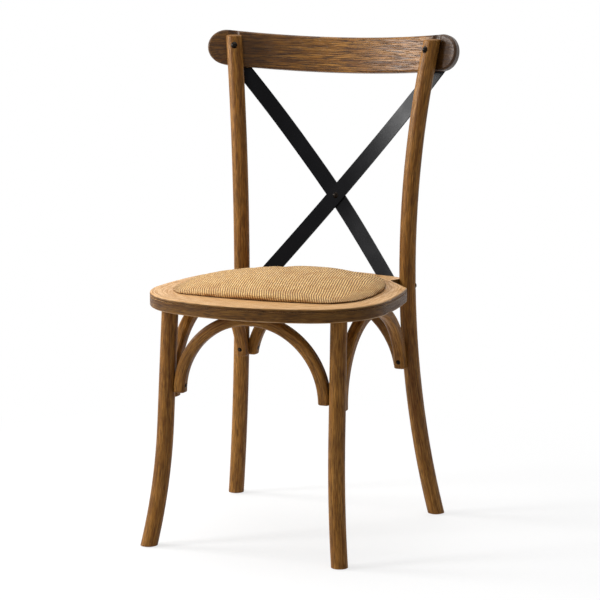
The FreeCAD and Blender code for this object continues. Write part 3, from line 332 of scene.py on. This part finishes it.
def rattan_material(settings):
    """Close weave of split rattan core, natural golden tan, dry and slightly fibrous."""
    made, tree, shader = material("woven_rattan")
    x, y, z = place(tree)
    drop = calc(tree, "SUBTRACT", pad_high.z / MM, z)
    # the weave carries on over the rolled sides and the rolled front
    side = ramp(tree, calc(tree, "ABSOLUTE", x), 150.0, 182.0)
    over = calc(tree, "MULTIPLY", calc(tree, "SIGN", x), calc(tree, "MULTIPLY", side, drop))
    x = calc(tree, "ADD", x, over)
    front = ramp(tree, y, -150.0, -180.0)
    y = calc(tree, "MULTIPLY_ADD", front, calc(tree, "MULTIPLY", drop, -1.0), y)
    step = math.tan(settings.lean)
    wander = patches(tree, (x, y, z), (40.0, 40.0, None), 1.0)
    across = calc(tree, "MULTIPLY_ADD", y, step, calc(tree, "MULTIPLY_ADD", wander, 2.4, x))
    strand = calc(tree, "DIVIDE", across, settings.strand_pitch / MM)
    row = calc(tree, "DIVIDE", y, settings.row_pitch / MM)
    wave = calc(tree, "POWER", cosine_wave(tree, strand), 0.8)
    rib = calc(tree, "POWER", cosine_wave(tree, row), 0.6)
    height = calc(tree, "MULTIPLY", wave, calc(tree, "MULTIPLY_ADD", rib, 0.65, 0.35))
    # one tone for each strand where it shows, and a slow change over the pad
    cell = joined(tree, calc(tree, "FLOOR", strand), calc(tree, "FLOOR", row), 0.0)
    tone = add(tree, "ShaderNodeTexWhiteNoise", {"Vector": cell}).outputs["Value"]
    slow = patches(tree, (x, y, z), (30.0, 60.0, None), 3.0)
    colour = blend(tree, tone, srgb("#dfb06a"), srgb("#fad592"))
    colour = blend(tree, ramp(tree, slow, 0.45, 0.75, 0.0, 0.6), colour, srgb("#c48f4c"))
    # painted shade: the weave darkens in the grooves between the strands
    colour = blend(tree, ramp(tree, height, 0.05, 0.85, 0.9, 0.0), colour, srgb("#6a3c08"))
    # painted shade: the strands darken towards the foot of the pad, where it turns under and meets
    # the ring
    foot = pad_low.z / MM
    low = ramp(tree, z, foot + 1.0, foot + 9.0, 0.45, 0.0)
    colour = blend(tree, low, colour, srgb("#7a5029"))
    tree.links.new(colour, shader.inputs["Base Color"])
    shader.inputs["Roughness"].default_value = 0.62
    shader.inputs["IOR"].default_value = 1.45
    shader.inputs["Specular IOR Level"].default_value = 0.25
    shader.inputs["Sheen Weight"].default_value = 0.08
    bump(tree, shader, height, 1.0, 1.1)
    return made


# Metal, plywood and plastic


def steel_material():
    """Flat steel bar with a satin black powder coat."""
    made, tree, shader = material("black_powder_coat")
    spot = place(tree)
    grit = patches(tree, spot, (0.6, 0.6, 0.6), 2.0)
    cloud = patches(tree, spot, (40.0, 40.0, 40.0), 3.0)
    tree.links.new(blend(tree, cloud, srgb("#060608"), srgb("#0d0d10")),
                   shader.inputs["Base Color"])
    tree.links.new(ramp(tree, cloud, 0.3, 0.7, 0.24, 0.30), shader.inputs["Roughness"])
    shader.inputs["Specular IOR Level"].default_value = 0.08
    bump(tree, shader, grit, 0.25, 0.08)
    return made


def fastener_material(name, dark, light, rough):
    """Plated steel with a little fine wear."""
    made, tree, shader = material(name)
    wear = patches(tree, place(tree), (1.5, 1.5, 1.5), 4.0)
    tree.links.new(blend(tree, ramp(tree, wear, 0.4, 0.7), srgb(dark), srgb(light)),
                   shader.inputs["Base Color"])
    shader.inputs["Metallic"].default_value = 1.0
    tree.links.new(ramp(tree, wear, 0.3, 0.7, rough, rough + 0.15), shader.inputs["Roughness"])
    bump(tree, shader, wear, 0.3, 0.05)
    return made


def ply_material():
    """Birch plywood: pale rotary-cut faces and veneers that show at the edge."""
    made, tree, shader = material("birch_plywood")
    x, y, z = place(tree)
    grain = (y, z, x, None)
    fibre = streaks(tree, grain, 2.5, 70.0, 3.0)
    figure = streaks(tree, grain, 22.0, 240.0, 2.0)
    layer = calc(tree, "FRACT", calc(tree, "DIVIDE", z, 3.6))
    edge = ramp(tree, layer, 0.48, 0.52)
    colour = blend(tree, ramp(tree, figure, 0.35, 0.65), srgb("#c9a877"), srgb("#d8bc90"))
    colour = blend(tree, ramp(tree, fibre, 0.4, 0.65, 0.0, 0.5), colour, srgb("#b48e5c"))
    colour = blend(tree, calc(tree, "MULTIPLY", edge, 0.35), colour, srgb("#9b7546"))
    tree.links.new(colour, shader.inputs["Base Color"])
    shader.inputs["Roughness"].default_value = 0.65
    shader.inputs["IOR"].default_value = 1.5
    bump(tree, shader, fibre, 0.3, 0.15)
    return made


def plastic_material():
    """Pale polyethylene glides, scuffed where they meet the floor."""
    made, tree, shader = material("glide_plastic")
    scuff = patches(tree, place(tree), (3.0, 3.0, 3.0), 4.0)
    tree.links.new(blend(tree, ramp(tree, scuff, 0.45, 0.7), srgb("#d8d3c8"), srgb("#b7b0a3")),
                   shader.inputs["Base Color"])
    tree.links.new(ramp(tree, scuff, 0.3, 0.7, 0.4, 0.6), shader.inputs["Roughness"])
    shader.inputs["IOR"].default_value = 1.51
    bump(tree, shader, scuff, 0.2, 0.1)
    return made


def finish_node(name, made):
    """Gives a CAD node its material."""
    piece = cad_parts[name]
    if not piece.material_slots:
        piece.data.materials.append(made)
    for slot in piece.material_slots:
        slot.material = made


# The woven pad


def pad_form(settings):
    """A closed pad drawn inside the CAD cover: rings up its side, then over its crown."""
    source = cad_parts["rattan_cover"]
    tree = BVHTree.FromPolygons([v.co for v in source.data.vertices],
                                [list(p.vertices) for p in source.data.polygons])
    middle = (pad_low + pad_high) / 2
    count = 96
    outside, above = 0.4, 0.05
    mesh = bmesh.new()
    rings = []
    lift = pad_high.z - pad_low.z
    for level in (0.0, 0.12, 0.3, 0.45):
        z = pad_low.z + level * lift + 0.3 * MM
        loop = []
        for n in range(count):
            angle = math.tau * n / count
            away = Vector((math.cos(angle), math.sin(angle), 0))
            start = Vector((middle.x, middle.y, z)) + away * outside
            found = tree.ray_cast(start, -away)[0]
            loop.append(mesh.verts.new(found - away * settings.inset))
        rings.append(loop)
    rim = [v.co.copy() for v in rings[-1]]
    for share in (0.93, 0.8, 0.6, 0.4, 0.2):
        loop = []
        for spot in rim:
            x = middle.x + (spot.x - middle.x) * share
            y = middle.y + (spot.y - middle.y) * share
            found = tree.ray_cast(Vector((x, y, pad_high.z + above)), Vector((0, 0, -1)))[0]
            loop.append(mesh.verts.new(Vector((x, y, found.z - settings.inset))))
        rings.append(loop)
    edges = []
    for loop in rings:
        edges.append([mesh.edges.new((loop[n], loop[(n + 1) % count])) for n in range(count)])
    for low, high in zip(edges, edges[1:]):
        bmesh.ops.bridge_loops(mesh, edges=low + high)
    for loop in (rings[0], rings[-1]):
        mesh.faces.new(loop)
    bmesh.ops.recalc_face_normals(mesh, faces=mesh.faces)
    data = bpy.data.meshes.new("rattan_pad")
    mesh.to_mesh(data)
    mesh.free()
    pad = bpy.data.objects.new("rattan_pad", data)
    bpy.context.scene.collection.objects.link(pad)
    return pad


def apply_modifier(piece, name):
    """Applies one modifier of a piece."""
    with bpy.context.temp_override(object=piece, active_object=piece,
                                   selected_objects=[piece]):
        bpy.ops.object.modifier_apply(modifier=name)


def remesh(piece, size):
    """Rebuilds the surface of a piece from even faces of one size."""
    shape = piece.modifiers.new("voxels", "REMESH")
    shape.mode = "VOXEL"
    shape.voxel_size = size
    apply_modifier(piece, "voxels")


def swell(piece, settings):
    """Blows the pad up as cloth that is held along its foot, then caps how far it moved."""
    rest = [v.co.copy() for v in piece.data.vertices]
    held = piece.vertex_groups.new(name="held")
    foot = pad_low.z + 3.0 * MM
    held.add([n for n, co in enumerate(rest) if co.z < foot], 1.0, "REPLACE")
    cloth = piece.modifiers.new("cloth", "CLOTH")
    cloth.settings.quality = 6
    cloth.settings.mass = 0.3
    cloth.settings.tension_stiffness = 25
    cloth.settings.compression_stiffness = 25
    cloth.settings.bending_stiffness = 2
    cloth.settings.use_pressure = True
    cloth.settings.uniform_pressure_force = settings.pressure
    cloth.settings.vertex_group_mass = "held"
    cloth.settings.effector_weights.gravity = 0
    cloth.point_cache.frame_start = 1
    cloth.point_cache.frame_end = settings.frames
    scene = bpy.context.scene
    for number in range(1, settings.frames + 1):
        scene.frame_set(number)
    seen = piece.evaluated_get(bpy.context.evaluated_depsgraph_get())
    moved = [v.co.copy() for v in seen.data.vertices]
    piece.modifiers.remove(cloth)
    piece.vertex_groups.remove(held)
    scene.frame_set(1)
    for vertex, old, new in zip(piece.data.vertices, rest, moved):
        shift = new - old
        if shift.length > settings.cap:
            shift *= settings.cap / shift.length
        vertex.co = old + shift


def smooth(piece, rounds, hold_below):
    """Evens out the surface above the foot."""
    mesh = bmesh.new()
    mesh.from_mesh(piece.data)
    loose = [v for v in mesh.verts if v.co.z > hold_below]
    for _ in range(rounds):
        bmesh.ops.smooth_vert(mesh, verts=loose, factor=0.5, use_axis_x=True, use_axis_y=True,
                              use_axis_z=True)
    mesh.to_mesh(piece.data)
    mesh.free()


# Settings


class ChairWoodSettings(bpy.types.PropertyGroup):
    figure_width: FloatProperty(name="Figure Width", description="Width of a broad band in the "
                                "wood's figure, in millimetres", default=7.0, min=1.0)
    fibre_width: FloatProperty(name="Fibre Width", description="Width of a streak in the wood's "
                               "grain, in millimetres", default=1.8, min=0.2)
    roughness: FloatProperty(name="Roughness", description="Roughness of the satin lacquer",
                             default=0.42, min=0.1, max=0.9, subtype="FACTOR")
    relief: FloatProperty(name="Relief", description="Depth of the open pores",
                          default=0.25 * MM, unit="LENGTH", precision=5)


class ChairPadSettings(bpy.types.PropertyGroup):
    inset: FloatProperty(name="Inset", description="How far the pad starts inside its cover "
                         "before it swells", default=1.6 * MM, unit="LENGTH", precision=4)
    voxel: FloatProperty(name="Voxel", description="Size of a face of the remeshed pad",
                         default=4.0 * MM, unit="LENGTH", precision=4)
    pressure: FloatProperty(name="Pressure", description="Pressure of the filling",
                            default=4.0, min=0.0)
    cap: FloatProperty(name="Cap", description="The furthest that a point may swell",
                       default=3.5 * MM, unit="LENGTH", precision=4)
    frames: IntProperty(name="Frames", description="Steps of the simulation", default=20, min=1)
    strand_pitch: FloatProperty(name="Strand Pitch", description="Distance between two strands "
                                "along a row", default=4.4 * MM, unit="LENGTH", precision=4)
    row_pitch: FloatProperty(name="Row Pitch", description="Distance between two rows of the "
                             "weave", default=3.6 * MM, unit="LENGTH", precision=4)
    lean: FloatProperty(name="Lean", description="How far the strands lean from front to back",
                        default=math.radians(15), subtype="ANGLE")


class ChairStageSettings(bpy.types.PropertyGroup):
    azimuth: FloatProperty(name="Azimuth", description="Turn of the camera from the chair's front",
                           default=math.radians(23.822), subtype="ANGLE")
    elevation: FloatProperty(name="Elevation", description="Height of the camera as an angle",
                             default=math.radians(9.668), subtype="ANGLE")
    roll: FloatProperty(name="Roll", description="Tilt of the camera about its view",
                        default=math.radians(-0.233), subtype="ANGLE")
    distance: FloatProperty(name="Distance", description="Distance from the camera to its target",
                            default=4.263, unit="LENGTH")
    lens: FloatProperty(name="Lens", description="Focal length in millimetres", default=143.81)
    target_x: FloatProperty(name="Target X", description="Sideways place of the camera's target",
                            default=0.02054, unit="LENGTH", precision=5)
    target_y: FloatProperty(name="Target Y", description="Place of the camera's target from front "
                            "to back", default=-0.01457, unit="LENGTH", precision=5)
    target_z: FloatProperty(name="Target Z", description="Height of the camera's target",
                            default=0.42006, unit="LENGTH", precision=5)
    world: FloatProperty(name="World", description="Strength of the light from all round",
                         default=0.2, min=0.0)


# Operators


class CHAIR_OT_finish(bpy.types.Operator):
    """Gives the wooden, steel and plastic pieces their materials"""
    bl_idname = "chair.finish_frame"
    bl_label = "Finish Frame"

    def execute(self, context):
        settings = context.scene.chair_wood
        for way, names in WOOD.items():
            made = wood_material(way, settings)
            for name in names:
                finish_node(name, made)
        groups = [
            (STEEL, steel_material()),
            (DARK_METAL, fastener_material("dark_fastener", "#120f0d", "#26211c", 0.25)),
            (BRIGHT_METAL, fastener_material("bright_fastener", "#b9b6ae", "#d2cfc6", 0.3)),
            (PLY, ply_material()),
            (PLASTIC, plastic_material()),
        ]
        for names, made in groups:
            for name in names:
                finish_node(name, made)
        return {"FINISHED"}


class CHAIR_OT_pad(bpy.types.Operator):
    """Builds the woven pad, swells it and lets it ride on the chair"""
    bl_idname = "chair.weave_pad"
    bl_label = "Weave Pad"

    def execute(self, context):
        settings = context.scene.chair_pad
        pad = pad_form(settings)
        remesh(pad, settings.voxel)
        swell(pad, settings)
        smooth(pad, 3, pad_low.z + 2.0 * MM)
        rounder = pad.modifiers.new("rounder", "SUBSURF")
        rounder.levels = rounder.render_levels = 1
        apply_modifier(pad, "rounder")
        for face in pad.data.polygons:
            face.use_smooth = True
        made = rattan_material(settings)
        pad.data.materials.append(made)
        for name in SOFT:
            finish_node(name, made)
        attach(pad, BODY)
        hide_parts(*SOFT)
        return {"FINISHED"}


def area_light(name, spot, target, size, power):
    """A soft white lamp that looks at a target."""
    lamp = bpy.data.lights.new(name, "AREA")
    lamp.shape = "RECTANGLE"
    lamp.size, lamp.size_y = size
    lamp.energy = power
    holder = bpy.data.objects.new(name, lamp)
    holder.location = spot
    holder.rotation_euler = (Vector(target) - Vector(spot)).to_track_quat("-Z", "Y").to_euler()
    bpy.context.scene.collection.objects.link(holder)


def floor_material():
    """Plain white floor that keeps a soft shadow and fades into the white backdrop."""
    made, tree, shader = material("studio_floor")
    near, far = 300.0, 1100.0
    x, y, _ = place(tree)
    square = calc(tree, "ADD", calc(tree, "MULTIPLY", x, x), calc(tree, "MULTIPLY", y, y))
    away = calc(tree, "SQRT", square)
    shader.inputs["Base Color"].default_value = srgb("#f4f4f4")
    shader.inputs["Roughness"].default_value = 0.9
    glow = add(tree, "ShaderNodeEmission", {"Color": (1, 1, 1, 1), "Strength": 1.0})
    share = calc(tree, "MULTIPLY", seen_directly(tree), ramp(tree, away, near, far, 0.72, 1.0))
    mixed = add(tree, "ShaderNodeMixShader", {0: share, 1: shader.outputs[0], 2: glow.outputs[0]})
    output = tree.nodes["Material Output"]
    tree.links.new(mixed.outputs[0], output.inputs["Surface"])
    return made


def white_world(strength):
    """A plain world, white to the camera and dimmer as light."""
    world = bpy.data.worlds.new("studio_world")
    world.use_nodes = True
    tree = world.node_tree
    back = tree.nodes["Background"]
    back.inputs["Color"].default_value = (1, 1, 1, 1)
    power = calc(tree, "MULTIPLY_ADD", seen_directly(tree), 1.0 - strength, strength)
    tree.links.new(power, back.inputs["Strength"])
    bpy.context.scene.world = world


class CHAIR_OT_stage(bpy.types.Operator):
    """Adds the floor, the soft lamps, the white world and the camera"""
    bl_idname = "chair.set_stage"
    bl_label = "Set Stage"

    def execute(self, context):
        scene = context.scene
        settings = scene.chair_stage
        mesh = bmesh.new()
        bmesh.ops.create_grid(mesh, x_segments=8, y_segments=8, size=8.0)
        data = bpy.data.meshes.new("floor")
        mesh.to_mesh(data)
        mesh.free()
        floor = bpy.data.objects.new("floor", data)
        scene.collection.objects.link(floor)
        data.materials.append(floor_material())
        white_world(settings.world)
        for lamp in LAMPS:
            area_light(*lamp)
        turn, rise, roll = settings.azimuth, settings.elevation, settings.roll
        back = Vector((math.sin(turn) * math.cos(rise), -math.cos(turn) * math.cos(rise),
                       math.sin(rise)))
        right = Vector((math.cos(turn), math.sin(turn), 0))
        up = back.cross(right)
        side = right * math.cos(roll) + up * math.sin(roll)
        top = up * math.cos(roll) - right * math.sin(roll)
        lens = bpy.data.cameras.new("camera")
        lens.sensor_width = 36
        lens.lens = settings.lens
        lens.shift_y = 0.0005
        camera = bpy.data.objects.new("camera", lens)
        scene.collection.objects.link(camera)
        target = Vector((settings.target_x, settings.target_y, settings.target_z))
        facing = Matrix((side, top, back)).transposed().to_4x4()
        camera.matrix_world = Matrix.Translation(target + back * settings.distance) @ facing
        scene.camera = camera
        scene.view_settings.view_transform = "Standard"
        return {"FINISHED"}


class CHAIR_PT_sidebar(bpy.types.Panel):
    bl_label = "Cross Back Chair"
    bl_idname = "CHAIR_PT_sidebar"
    bl_space_type = "VIEW_3D"
    bl_region_type = "UI"
    bl_category = "Chair"

    def draw(self, context):
        scene = context.scene
        for title, settings, operator in [
                ("Wood", scene.chair_wood, CHAIR_OT_finish),
                ("Pad", scene.chair_pad, CHAIR_OT_pad),
                ("Stage", scene.chair_stage, CHAIR_OT_stage)]:
            box = self.layout.box()
            box.label(text=title)
            for name in settings.__annotations__:
                box.prop(settings, name)
            box.operator(operator.bl_idname)


CLASSES = [ChairWoodSettings, ChairPadSettings, ChairStageSettings, CHAIR_OT_finish, CHAIR_OT_pad,
           CHAIR_OT_stage, CHAIR_PT_sidebar]


def register():
    for kind in CLASSES:
        bpy.utils.register_class(kind)
    bpy.types.Scene.chair_wood = PointerProperty(type=ChairWoodSettings)
    bpy.types.Scene.chair_pad = PointerProperty(type=ChairPadSettings)
    bpy.types.Scene.chair_stage = PointerProperty(type=ChairStageSettings)


def unregister():
    del bpy.types.Scene.chair_stage
    del bpy.types.Scene.chair_pad
    del bpy.types.Scene.chair_wood
    for kind in reversed(CLASSES):
        bpy.utils.unregister_class(kind)


def main():
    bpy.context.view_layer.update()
    register()
    bpy.ops.chair.finish_frame()
    bpy.ops.chair.weave_pad()
    bpy.ops.chair.set_stage()


if __name__ == "__main__":
    main()
